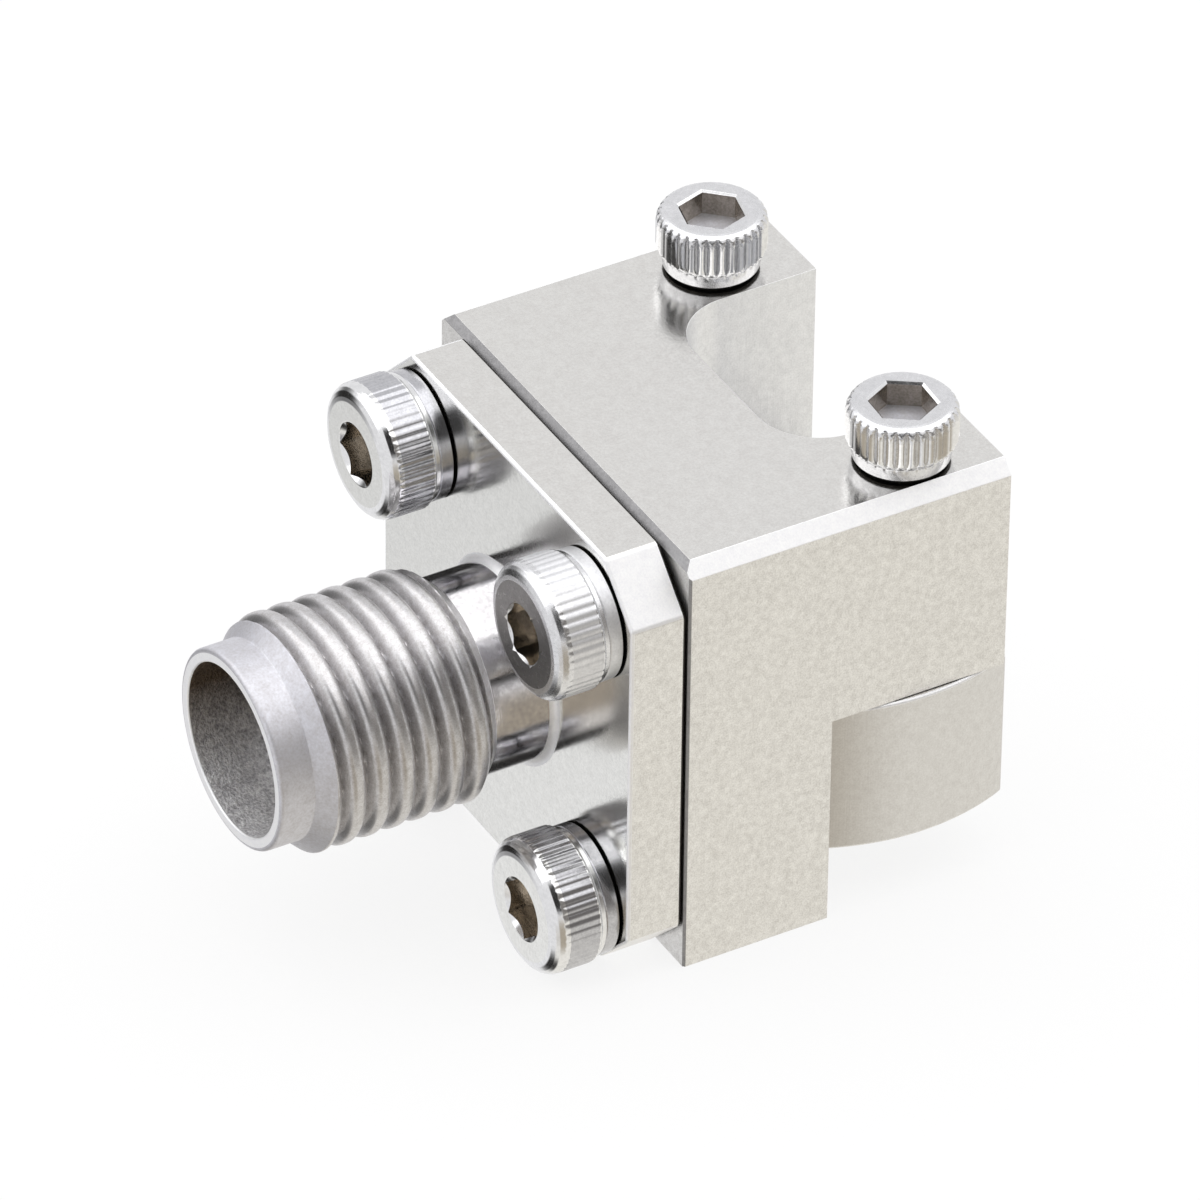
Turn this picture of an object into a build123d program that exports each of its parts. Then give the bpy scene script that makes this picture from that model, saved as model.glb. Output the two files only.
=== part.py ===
"""An edge launch connector: a threaded coaxial coupling on a flange, screwed to a block whose
upper jaw and lower clamp grip the edge of a circuit board. All sizes are in millimetres.

The frame: Y is the coupling's axis. The mating face is at Y = 0 and the connector runs back
to +Y. Z is up, away from the board, and X is across the board's edge.
"""

from build123d import *
from math import cos, radians, sin
import os

os.makedirs("parts", exist_ok=True)

# Outline that the flange and the block share
body_width = 12.7
body_top = 6.35
body_bottom = 6.15

# Coupling barrel, from the mating face back to the flange
barrel_length = 7.86
thread_diameter = 6.25
thread_end = 6.15
sleeve_diameter = 5.35
sleeve_length = 0.95
sleeve_edge = 0.12
neck_diameter = 5.26
neck_fillet = 0.2

# Flange, with a raised face behind that meets the block
flange_thickness = 1.57
flange_corner = 1.4
flange_edge = 0.08
seat_diameter = 8.6
seat_height = 0.07

# Mating face and air line inside the barrel
mating_bore_diameter = 4.62
mating_bore_depth = 1.98
line_diameter = 2.92
bead_pocket_diameter = 3.8
bead_front = 4.2
bead_thickness = 1.2

# Centre contact
contact_diameter = 1.27
contact_setback = 0.05
contact_end = 9.0
contact_waist_diameter = 0.9
socket_diameter = 0.94
socket_depth = 1.9
socket_slot_width = 0.14
socket_slot_depth = 1.7
rear_socket_depth = 1.5

# Launch: the pin, its glass seal and the sleeve round it
pin_diameter = 0.4
pin_overhang = 1.1
pin_entry = 1.3
glass_diameter = 2.16
seal_diameter = 3.5
seal_length = 1.5
launch_bore_diameter = 1.34
launch_sleeve_setback = 0.12

# Block: a leg behind the flange and an upper jaw over the board
block_length = 9.26
leg_thickness = 4.22
board_plane = 0.1
block_top_chamfer = 0.37
block_edge = 0.2
slot_width = 6.6
slot_web = 0.5
slot_corner = 1.72

# Lower clamp: a round plate with a flat in front and a flat behind
clamp_radius = 6.5
clamp_thickness = 4.37
clamp_overhang = 0.28
clamp_leg_clearance = 0.05
clamp_board_clearance = 0.02
clamp_edge = 0.06

# Clamp screws, down through the jaw into the clamp
clamp_screw_spacing = 9.5
clamp_screw_line = 7.0
clamp_screw_diameter = 1.6
clamp_screw_length = 10.0
clamp_head_diameter = 2.88
clamp_head_height = 1.72
clamp_head_base_diameter = 2.56
clamp_head_base_height = 0.32
clamp_head_bevel = 0.2
clamp_head_flutes = 32
clamp_head_flute_depth = 0.14
clamp_head_lift = 0.06
clamp_head_seat_diameter = 2.2

# Flange screws and their washers
flange_screw_spacing = 8.64
flange_screw_diameter = 2.0
flange_screw_length = 5.0
flange_head_diameter = 3.66
flange_head_height = 1.5
flange_head_rounding = 0.45
flange_head_facets = 3
flange_head_base_diameter = 3.46
flange_head_base_height = 0.15
washer_diameter = 3.46
washer_hole_diameter = 2.2
washer_thickness = 0.43
washer_seat_diameter = 3.1
washer_seat_height = 0.09

# Hex sockets of all six screws
hex_across_flats = 1.5
hex_mouth = 0.12
clamp_hex_depth = 0.7
flange_hex_depth = 0.95

# Clearances
screw_clearance = 0.05
tapped_clearance = 0.02
fit_clearance = 0.01
tapped_depth_spare = 0.5

# Places along Y that follow from the sizes
flange_rear = barrel_length + flange_thickness
block_front = flange_rear + seat_height
leg_rear = block_front + leg_thickness
block_rear = block_front + block_length
slot_front = leg_rear + slot_web
clamp_screw_y = block_front + clamp_screw_line
seal_rear = block_front + seal_length
bead_rear = bead_front + bead_thickness
clamp_top = board_plane - clamp_board_clearance


def turned(*points):
    """Solid turned about the coupling's axis from (radius, y) points."""
    outline = Polyline(*[(radius, y) for radius, y in points], close=True)
    return revolve(make_face(outline), Axis.Y)


def rod(diameter, start, end):
    """Round bar on the coupling's axis, from one Y to another."""
    return turned((0, start), (diameter / 2, start), (diameter / 2, end), (0, end))


def hole_along_y(x, z, diameter, start, end):
    """Round cutter parallel to the coupling's axis."""
    return Pos(x, 0, z) * rod(diameter, start, end)


def block_between(low, high):
    """Box between two corners."""
    size = [b - a for a, b in zip(low, high)]
    centre = [(a + b) / 2 for a, b in zip(low, high)]
    return Pos(*centre) * Box(*size)


def flange_screw_places():
    """(name, x, z) of the four flange screws."""
    half = flange_screw_spacing / 2
    return [
        ("upper_left", -half, half),
        ("upper_right", half, half),
        ("lower_left", -half, -half),
        ("lower_right", half, -half),
    ]


def clamp_screw_places():
    """(name, x) of the two clamp screws."""
    half = clamp_screw_spacing / 2
    return [("left", -half), ("right", half)]


def connector_shell():
    """Flange, neck and barrel from one bar. The coupling thread stands as its crest's cylinder."""
    half_width = body_width / 2
    thread_r, sleeve_r, neck_r = thread_diameter / 2, sleeve_diameter / 2, neck_diameter / 2
    flange = block_between(
        (-half_width, barrel_length, -body_bottom), (half_width, flange_rear, body_top)
    )
    flange = chamfer(flange.edges().filter_by(Axis.Y), flange_corner)
    front = flange.faces().sort_by(Axis.Y)[0]
    flange = chamfer(front.edges(), flange_edge)
    barrel = turned(
        (0, 0),
        (sleeve_r - sleeve_edge, 0),
        (sleeve_r, sleeve_edge),
        (sleeve_r, sleeve_length),
        (thread_r, sleeve_length + thread_r - sleeve_r),
        (thread_r, thread_end - (thread_r - neck_r)),
        (neck_r, thread_end),
        (neck_r, barrel_length + flange_thickness / 2),
        (0, barrel_length + flange_thickness / 2),
    )
    shell = flange + barrel + rod(seat_diameter, barrel_length + flange_thickness / 2, block_front)
    root = [
        edge
        for edge in shell.edges().filter_by(GeomType.CIRCLE)
        if abs(edge.radius - neck_r) < 1e-4 and abs(edge.center().Y - barrel_length) < 1e-4
    ]
    shell = fillet(root, neck_fillet)
    bore_r, line_r, pocket_r = mating_bore_diameter / 2, line_diameter / 2, bead_pocket_diameter / 2
    shell -= turned(
        (0, 0),
        (bore_r, 0),
        (bore_r, mating_bore_depth),
        (line_r, mating_bore_depth),
        (line_r, bead_front),
        (pocket_r, bead_front),
        (pocket_r, block_front),
        (0, block_front),
    )
    for _, x, z in flange_screw_places():
        hole = flange_screw_diameter + 2 * screw_clearance
        shell -= hole_along_y(x, z, hole, barrel_length, flange_rear)
    return shell


def housing_block():
    """Leg and slotted upper jaw, milled from one piece."""
    half_width = body_width / 2
    leg = block_between(
        (-half_width, block_front, -body_bottom), (half_width, leg_rear, body_top)
    )
    jaw = block_between((-half_width, block_front, board_plane), (half_width, block_rear, body_top))
    block = leg + jaw
    top = block.faces().sort_by(Axis.Z)[-1]
    block = chamfer(top.edges().filter_by(Axis.Y), block_top_chamfer)
    front = block.faces().sort_by(Axis.Y)[0]
    block = chamfer(front.edges(), block_edge)
    slot_r = slot_width / 2
    slot = block_between(
        (-slot_r, slot_front, -body_bottom), (slot_r, block_rear + slot_web, body_top)
    )
    inner_corners = slot.edges().filter_by(Axis.Z).group_by(Axis.Y)[0]
    block -= fillet(inner_corners, slot_corner)
    for _, x in clamp_screw_places():
        hole_r = clamp_screw_diameter / 2 + screw_clearance
        height = body_top - board_plane
        middle = (body_top + board_plane) / 2
        block -= Pos(x, clamp_screw_y, middle) * Cylinder(hole_r, height)
    tapped_end = barrel_length - washer_thickness + flange_screw_length + tapped_depth_spare
    for _, x, z in flange_screw_places():
        hole = flange_screw_diameter + 2 * tapped_clearance
        block -= hole_along_y(x, z, hole, block_front, tapped_end)
    block -= rod(seal_diameter, block_front, seal_rear)
    block -= rod(launch_bore_diameter, seal_rear, slot_front)
    return block


def clamp_jaw():
    """Round lower clamp with two flats, tapped for the clamp screws."""
    front = leg_rear + clamp_leg_clearance
    rear = block_rear + clamp_overhang
    middle = clamp_top - clamp_thickness / 2
    disc = Pos(0, clamp_screw_y, middle) * Cylinder(clamp_radius, clamp_thickness)
    keep = block_between(
        (-clamp_radius, front, clamp_top - clamp_thickness), (clamp_radius, rear, clamp_top)
    )
    jaw = disc & keep
    ends = jaw.faces().filter_by(Axis.Z)
    jaw = chamfer(ends.edges(), clamp_edge)
    for _, x in clamp_screw_places():
        hole_r = clamp_screw_diameter / 2 + tapped_clearance
        jaw -= Pos(x, clamp_screw_y, middle) * Cylinder(hole_r, clamp_thickness)
    return jaw


def hex_socket(top, depth):
    """Cutter for a hex socket that opens upwards at height top, with a chamfered mouth."""
    corner_r = hex_across_flats / 3**0.5
    socket = Pos(0, 0, top - depth) * extrude(RegularPolygon(corner_r, 6), depth)
    mouth_r = hex_across_flats / 2 + hex_mouth
    mouth = Pos(0, 0, top - hex_mouth / 2) * Cone(mouth_r - hex_mouth, mouth_r, hex_mouth)
    return socket + mouth


def screw_head(outline):
    """Head turned about Z from (radius, z) points."""
    return revolve(make_face(Polyline(*[(r, 0, z) for r, z in outline], close=True)), Axis.Z)


def fluted_bar(diameter, depth, flutes, length):
    """Bar along Z with V flutes all round; what a head shares with it is its knurled form."""
    radii = [diameter / 2, diameter / 2 - depth] * flutes
    angles = [radians(180 * step / flutes) for step in range(2 * flutes)]
    outline = [(r * cos(angle), r * sin(angle)) for r, angle in zip(radii, angles)]
    return extrude(make_face(Polyline(*outline, close=True)), length)


def cap_screw(head, head_height, hex_depth, diameter, length):
    """Socket head screw standing on Z = 0, with its shank down to -length."""
    tip = diameter / 8
    shank_r = diameter / 2
    shank_outline = [(0, 0), (shank_r, 0), (shank_r, tip - length), (shank_r - tip, -length), (0, -length)]
    shank = revolve(make_face(Polyline(*[(r, 0, z) for r, z in shank_outline], close=True)), Axis.Z)
    return head + shank - hex_socket(head_height, hex_depth)


def clamp_screw(x):
    """One clamp screw: bevelled rim, fluted side, narrower plain base and a raised seat."""
    head_r, base_r, seat_r = (
        clamp_head_diameter / 2,
        clamp_head_base_diameter / 2,
        clamp_head_seat_diameter / 2,
    )
    outline = [
        (0, 0),
        (seat_r, 0),
        (seat_r, clamp_head_lift),
        (base_r, clamp_head_lift),
        (base_r, clamp_head_base_height),
        (head_r, clamp_head_base_height + head_r - base_r),
        (head_r, clamp_head_height - clamp_head_bevel),
        (head_r - clamp_head_bevel, clamp_head_height),
        (0, clamp_head_height),
    ]
    head = screw_head(outline) & fluted_bar(
        clamp_head_diameter, clamp_head_flute_depth, clamp_head_flutes, clamp_head_height
    )
    screw = cap_screw(
        head, clamp_head_height, clamp_hex_depth, clamp_screw_diameter, clamp_screw_length
    )
    return Pos(x, clamp_screw_y, body_top) * screw


def flange_screw(x, z):
    """One flange screw: rounded front edge, straight side and a narrower plain base."""
    head_r, base_r = flange_head_diameter / 2, flange_head_base_diameter / 2
    arc_r, arc_z = head_r - flange_head_rounding, flange_head_height - flange_head_rounding
    angles = [radians(90 * step / flange_head_facets) for step in range(flange_head_facets + 1)]
    rim = [
        (arc_r + flange_head_rounding * cos(angle), arc_z + flange_head_rounding * sin(angle))
        for angle in angles
    ]
    outline = [
        (0, 0),
        (base_r, 0),
        (base_r, flange_head_base_height),
        (head_r, flange_head_base_height + head_r - base_r),
        *rim,
        (0, flange_head_height),
    ]
    screw = cap_screw(
        screw_head(outline),
        flange_head_height,
        flange_hex_depth,
        flange_screw_diameter,
        flange_screw_length,
    )
    return Pos(x, barrel_length - washer_thickness, z) * Rot(90, 0, 0) * screw


def flange_washer(x, z):
    """Plain washer under a flange screw, raised on a narrower seat."""
    start, end = barrel_length - washer_thickness, barrel_length
    hole_r, outer_r, seat_r = washer_hole_diameter / 2, washer_diameter / 2, washer_seat_diameter / 2
    washer = turned(
        (hole_r, start),
        (outer_r, start),
        (outer_r, end - washer_seat_height),
        (seat_r, end - washer_seat_height),
        (seat_r, end),
        (hole_r, end),
    )
    return Pos(x, 0, z) * washer


def centre_contact():
    """Slotted socket in front, a waist for the bead and a plain socket behind."""
    front = mating_bore_depth + contact_setback
    contact = turned(
        (0, front),
        (contact_diameter / 2, front),
        (contact_diameter / 2, bead_front),
        (contact_waist_diameter / 2, bead_front),
        (contact_waist_diameter / 2, bead_rear),
        (contact_diameter / 2, bead_rear),
        (contact_diameter / 2, contact_end),
        (0, contact_end),
    )
    contact -= rod(socket_diameter, front, front + socket_depth)
    contact -= rod(pin_diameter + 2 * fit_clearance, contact_end - rear_socket_depth, contact_end)
    slot_half, slot_end, reach = socket_slot_width / 2, front + socket_slot_depth, contact_diameter
    contact -= block_between((-slot_half, front, -reach), (slot_half, slot_end, reach))
    contact -= block_between((-reach, front, -slot_half), (reach, slot_end, slot_half))
    return contact


def support_bead():
    """Moulded plastic bead round the contact's waist."""
    return rod(bead_pocket_diameter - 2 * fit_clearance, bead_front, bead_rear) - rod(
        contact_waist_diameter + 2 * fit_clearance, bead_front, bead_rear
    )


def bead_retainer():
    """Pressed bush that holds the bead and carries on the air line."""
    return rod(bead_pocket_diameter - 2 * fit_clearance, bead_rear, block_front) - rod(
        line_diameter, bead_rear, block_front
    )


def seal_ring():
    """Metal ring of the glass seal, soldered into the block."""
    return rod(seal_diameter - 2 * fit_clearance, block_front, seal_rear) - rod(
        glass_diameter, block_front, seal_rear
    )


def seal_glass():
    """Glass between the seal's ring and the launch pin."""
    return rod(glass_diameter - 2 * fit_clearance, block_front, seal_rear) - rod(
        pin_diameter + 2 * fit_clearance, block_front, seal_rear
    )


def launch_sleeve():
    """Dielectric sleeve round the pin, through the leg."""
    end = leg_rear - launch_sleeve_setback
    return rod(launch_bore_diameter - 2 * fit_clearance, seal_rear, end) - rod(
        pin_diameter + 2 * fit_clearance, seal_rear, end
    )


def launch_pin():
    """Pin from the centre contact to the board, with a half-round tab that lies on the trace."""
    tab_end = leg_rear + pin_overhang
    pin = rod(pin_diameter, contact_end - pin_entry, tab_end)
    pin -= block_between(
        (-pin_diameter, leg_rear, -pin_diameter), (pin_diameter, tab_end, board_plane)
    )
    return pin


def all_pieces():
    """Every node of the connector by name."""
    pieces = {
        "connector_shell": connector_shell(),
        "housing_block": housing_block(),
        "clamp_jaw": clamp_jaw(),
        "centre_contact": centre_contact(),
        "support_bead": support_bead(),
        "bead_retainer": bead_retainer(),
        "seal_ring": seal_ring(),
        "seal_glass": seal_glass(),
        "launch_sleeve": launch_sleeve(),
        "launch_pin": launch_pin(),
    }
    for name, x in clamp_screw_places():
        pieces[f"clamp_screw_{name}"] = clamp_screw(x)
    for name, x, z in flange_screw_places():
        pieces[f"flange_screw_{name}"] = flange_screw(x, z)
        pieces[f"flange_washer_{name}"] = flange_washer(x, z)
    return pieces


for name, piece in all_pieces().items():
    export_step(piece, f"parts/{name}.step")
    size = piece.bounding_box().size
    print(f"{name}: {size.X:.2f} x {size.Y:.2f} x {size.Z:.2f} mm, {piece.volume:.2f} mm3")
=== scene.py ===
# %% [markdown]
# # Edge launch connector
#
# A coaxial connector that grips the edge of a circuit board. Its bright look comes from one
# metal, stainless steel, in several finishes: turned, ground, blasted and polished.
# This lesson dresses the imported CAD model. The pieces that show are made again with the
# detail that CAD leaves out: the helical thread, the fluted screw heads and soft edges.

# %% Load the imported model
import math

import bmesh
import bpy
from mathutils import Matrix, Vector


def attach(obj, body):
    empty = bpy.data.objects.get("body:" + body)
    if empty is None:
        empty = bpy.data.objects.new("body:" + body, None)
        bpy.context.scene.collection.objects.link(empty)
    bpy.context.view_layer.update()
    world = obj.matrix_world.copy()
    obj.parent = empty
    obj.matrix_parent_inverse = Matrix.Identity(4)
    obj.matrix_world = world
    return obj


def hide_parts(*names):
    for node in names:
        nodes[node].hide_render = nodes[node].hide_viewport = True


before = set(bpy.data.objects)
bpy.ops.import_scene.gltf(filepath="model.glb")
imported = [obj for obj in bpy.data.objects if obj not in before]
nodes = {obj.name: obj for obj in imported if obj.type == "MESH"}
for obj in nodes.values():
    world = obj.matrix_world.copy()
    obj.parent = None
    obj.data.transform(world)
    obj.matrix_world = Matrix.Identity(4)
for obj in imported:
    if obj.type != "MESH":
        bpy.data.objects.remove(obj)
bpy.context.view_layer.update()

# %% [markdown]
# ## Shared sizes
#
# The same sizes as in the part's source, in millimetres. Y is the coupling's axis: the mating
# face is at Y = 0 and the connector runs back to +Y. Z is up and X is across the board's edge.
# Only what several pieces share stands here. Each piece brings its own sizes.

# %% Shared sizes in millimetres
MM = 0.001
body_width, body_top, body_bottom = 12.7, 6.35, 6.15
barrel_length, flange_thickness, seat_height = 7.86, 1.57, 0.07
block_length, leg_thickness, slot_web, board_plane = 9.26, 4.22, 0.5, 0.1
clamp_screw_line, clamp_screw_spacing, clamp_screw_diameter = 7.0, 9.5, 1.6

half_width = body_width / 2
flange_rear = barrel_length + flange_thickness
block_front = flange_rear + seat_height
leg_rear = block_front + leg_thickness
block_rear = block_front + block_length
slot_front = leg_rear + slot_web
clamp_screw_y = block_front + clamp_screw_line
print("flange ends at", flange_rear, "mm; block from", block_front, "to", block_rear)

# %% [markdown]
# ## Camera
#
# The photo was taken with a long lens from the front right and above. The eye is 300 mm away,
# which keeps the parallel edges of so small an object nearly parallel. The angles and the
# scale were fitted to points measured in the photo. The eye is moved sideways instead of
# shifting the lens, so that other views can turn round the connector.

# %% Camera
azimuth, elevation, roll = (math.radians(angle) for angle in (60.017, 36.648, -0.713))
eye_distance, pixels_per_mm, picture_side, sensor = 300.0, 39.994, 1200, 36.0
shift_right, shift_up = 9.237, 3.762

level = math.cos(elevation)
back = Vector((math.sin(azimuth) * level, -math.cos(azimuth) * level, math.sin(elevation)))
level_right = Vector((math.cos(azimuth), math.sin(azimuth), 0))
level_up = back.cross(level_right)
right = math.cos(roll) * level_right - math.sin(roll) * level_up
up = math.sin(roll) * level_right + math.cos(roll) * level_up
eye = (right * shift_right + up * shift_up + back * eye_distance) * MM

camera_data = bpy.data.cameras.new("camera")
camera_data.lens = pixels_per_mm * eye_distance / picture_side * sensor
camera_data.sensor_width = sensor
camera_data.clip_start = 0.01
camera = bpy.data.objects.new("camera", camera_data)
bpy.context.scene.collection.objects.link(camera)
camera.matrix_world = Matrix.Translation(eye) @ Matrix((right, up, back)).transposed().to_4x4()
bpy.context.scene.camera = camera
print("lens", round(camera_data.lens, 1), "mm, eye at", [round(c, 4) for c in eye])

# %% [markdown]
# ## Two small helpers for node trees
#
# Every material and every Geometry Nodes tree is built from text. One function adds a node,
# sets its options and fills its inputs. Another turns a colour as a painter writes it, in
# sRGB, into the linear values that a shader adds up.


# %% Helpers for nodes
def add(tree, kind, options=None, inputs=None):
    """Add a node, set its options, then give each input a value or a link."""
    node = tree.nodes.new(kind)
    for option, value in (options or {}).items():
        setattr(node, option, value)
    for name, value in (inputs or {}).items():
        if isinstance(value, bpy.types.Node):
            value = value.outputs[0]
        if isinstance(value, bpy.types.NodeSocket):
            tree.links.new(value, node.inputs[name])
        else:
            node.inputs[name].default_value = value
    return node


def linear(hex_colour):
    """An sRGB hex colour as linear RGBA."""
    parts = [int(hex_colour[i : i + 2], 16) / 255 for i in (1, 3, 5)]
    return [c / 12.92 if c <= 0.04045 else ((c + 0.055) / 1.055) ** 2.4 for c in parts] + [1]


print("a middle grey of #808080 is", round(linear("#808080")[0], 3), "to a shader")

# %% [markdown]
# ## Steel finishes
#
# All the bright parts are passivated stainless steel. What tells them apart is how each
# surface was made. A ground or blasted face scatters its reflection and shows a fine mottle.
# A turned face carries rings, and a polished one mirrors what lies next to it. A photographed
# texture could show all that, but it would carry its own light. So one function lays down the
# metal with a mottle of a real grain size, and each finish gives its own values.
#
# Real tool marks are a few thousandths of a millimetre wide, too fine to show at this size.
# They are drawn as coarse as they need to be to break up a reflection, 0.025 to 0.12 mm.

# %% Tool marks
mark_length = 50


def tool_marks(tree, place, below, direction, width, depth):
    """Lines of the cutter over the relief `below`, along a lathe's path or drawn out along an axis."""
    lines = {"Scale": 1 / (width * MM), "Detail": 2.0, "Roughness": 0.6}
    if direction == "along":
        path = add(tree, "ShaderNodeAttribute", {"attribute_name": "along"}).outputs["Fac"]
        line = add(tree, "ShaderNodeTexNoise", {"noise_dimensions": "1D"}, {"W": path, **lines})
    else:
        drawn_out = [1 / mark_length if axis == direction else 1.0 for axis in "XYZ"]
        stretch = add(tree, "ShaderNodeMapping", {}, {"Vector": place, "Scale": drawn_out})
        line = add(tree, "ShaderNodeTexNoise", {}, {"Vector": stretch, **lines})
    marked = {"Strength": 1.0, "Distance": depth * MM, "Height": line, "Normal": below}
    return add(tree, "ShaderNodeBump", {}, marked)


print("a mark is", mark_length, "times as long as it is wide")

# %% [markdown]
# The mottle mixes two clouds, one four times as coarse as the other, because real grain never
# has one size. It drives the colour, the roughness and the relief together: a pit is darker
# and duller than the metal round it. A bore also gets painted shade, which multiplies the
# colour more and more between two heights, so that its upper wall is darker.

# %% Bare metal with its grain
mottle_low, mottle_high = 0.3, 0.7
cloud_share, cloud_offset = 0.55, -0.05


def bare_metal(name, light, dark, roughness, grain, bump, marks=None, spread=0.08, painted_shade_above=None):
    """Metal with a mottle of `grain` mm, marks (direction, width, depth) and painted shade above (colour,
    low, high).
    """
    material = bpy.data.materials.new(name)
    material.use_nodes = True
    tree = material.node_tree
    shader = tree.nodes["Principled BSDF"]
    shader.inputs["Metallic"].default_value = 1.0
    place = add(tree, "ShaderNodeTexCoord").outputs["Object"]
    coarse = {"Vector": place, "Scale": 1 / (grain * 4 * MM), "Detail": 3.0, "Roughness": 0.6}
    cloud = add(tree, "ShaderNodeTexNoise", {}, coarse)
    fine = {"Vector": place, "Scale": 1 / (grain * MM), "Detail": 2.0, "Roughness": 0.55}
    speck = add(tree, "ShaderNodeTexNoise", {}, fine)
    mix = {"operation": "MULTIPLY_ADD"}
    coarse_part = add(tree, "ShaderNodeMath", mix, {0: cloud, 1: cloud_share, 2: cloud_offset})
    mottle = add(tree, "ShaderNodeMath", mix, {0: speck, 1: cloud_share, 2: coarse_part})
    found = {"Value": mottle, "From Min": mottle_low, "From Max": mottle_high}
    clear = add(tree, "ShaderNodeMapRange", {}, found)
    tones = {"Factor": clear, 6: linear(dark), 7: linear(light)}
    colour = add(tree, "ShaderNodeMix", {"data_type": "RGBA"}, tones).outputs[2]
    # Painted shade: the colour is multiplied by a darker tone more and more with height.
    if painted_shade_above:
        painted_shade_colour, low, high = painted_shade_above
        height = add(tree, "ShaderNodeSeparateXYZ", {}, {0: place}).outputs["Z"]
        shade_by_height = {"Value": height, "From Min": low * MM, "From Max": high * MM}
        share = add(tree, "ShaderNodeMapRange", {}, shade_by_height)
        tones = {"Factor": share, 6: colour, 7: linear(painted_shade_colour)}
        over = {"data_type": "RGBA", "blend_type": "MULTIPLY"}
        colour = add(tree, "ShaderNodeMix", over, tones).outputs[2]
    tree.links.new(colour, shader.inputs["Base Color"])
    ends = {"To Min": roughness + spread / 2, "To Max": roughness - spread / 2}
    rough = add(tree, "ShaderNodeMapRange", {}, {**found, **ends})
    tree.links.new(rough.outputs[0], shader.inputs["Roughness"])
    relief = add(tree, "ShaderNodeBump", {}, {"Strength": 1.0, "Distance": bump * MM, "Height": mottle})
    if marks:
        relief = tool_marks(tree, place, relief, *marks)
    tree.links.new(relief.outputs[0], shader.inputs["Normal"])
    return material


print("mottle counts from", mottle_low, "to", mottle_high, "of the noise")

# %% [markdown]
# Each finish is a row of values: light and dark tone, roughness, grain and relief in mm, and
# the marks. The tones were matched to the photo, because passivated steel is a little duller
# than fresh steel and each process leaves its own grey.

# %% Finishes of the flange, the block and the clamp
finish = {
    # Glass beads dimple the sides: a soft even grey that shows no reflections.
    "blasted": bare_metal("blasted_stainless_steel", "#f4f3f1", "#d5d3d0", 0.42, 0.045, 0.006),
    # A grinding wheel's lines run across: reflections are clear one way and smeared the other.
    "ground": bare_metal(
        "ground_stainless_steel", "#e6e5e2", "#d8d6d3", 0.17, 0.07, 0.002, ("X", 0.03, 0.0008)
    ),
    # The flange's front is finer still: it shows the screws and the barrel that stand on it.
    "lapped": bare_metal(
        "lapped_stainless_steel", "#f0f0ed", "#e2e2df", 0.15, 0.07, 0.001, ("X", 0.03, 0.0006)
    ),
    # Tumbling breaks the edges: thin lines and chamfers without reflections, whose near white tone is a
    # painted highlight.
    "milled": bare_metal("deburred_stainless_steel_with_painted_highlight", "#ffffff", "#f6f6f8", 0.6, 0.05, 0.003),
    # Painted shade on the block's edge behind the flange: a dull grey that parts the two pieces.
    "edge": bare_metal("painted_shade_edge_of_stainless_steel", "#a8a7a8", "#929192", 0.5, 0.05, 0.003),
    # An end mill climbs the window's wall: soft upright bands that brighten in the corners.
    "wall": bare_metal(
        "end_milled_stainless_steel", "#eff0f3", "#dcdde0", 0.34, 0.05, 0.002, ("Z", 0.12, 0.004)
    ),
    # The clamp's round wall has finer upright marks and a satin sheen that turns with it.
    "clamp": bare_metal(
        "turned_and_milled_stainless_steel", "#e1e0df", "#d2d0ce", 0.36, 0.05, 0.002, ("Z", 0.05, 0.002)
    ),
    # Painted shade in the narrow joints: a nearly black line under washers and heads.
    "recess": bare_metal("painted_joint_shade_on_stainless_steel", "#3a3835", "#24221f", 0.5, 0.06, 0.002),
}
print("finishes of the flat pieces", sorted(finish))

# %% Finishes of the barrel
finish.update({
    # The thread's flanks carry rings along the cut, which glint in short dashes.
    "turned": bare_metal(
        "turned_stainless_steel", "#dad9db", "#b9b6b5", 0.36, 0.04, 0.003, ("along", 0.025, 0.001)
    ),
    # Plugs have worn the plain sleeve in front of the thread to a pale matt grey.
    "sleeve": bare_metal("worn_turned_stainless_steel", "#dadae0", "#c9c7ca", 0.55, 0.07, 0.004),
    # The neck is nearly a mirror: bright and dark bands, a little ragged from the tool.
    "neck": bare_metal(
        "bright_turned_stainless_steel", "#eae8ec", "#cbc8cc", 0.14, 0.12, 0.0004, ("along", 0.05, 0.0008)
    ),
    # The bore is coarse and speckled, pale below and darkened above by painted brown shade.
    "bored": bare_metal(
        "blasted_bore_of_stainless_steel", "#ffffff", "#b4b2b5", 0.7, 0.08, 0.045,
        spread=0.2, painted_shade_above=("#746554", -1.7, 0.5),
    ),
})
print("finishes so far", len(finish))

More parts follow.
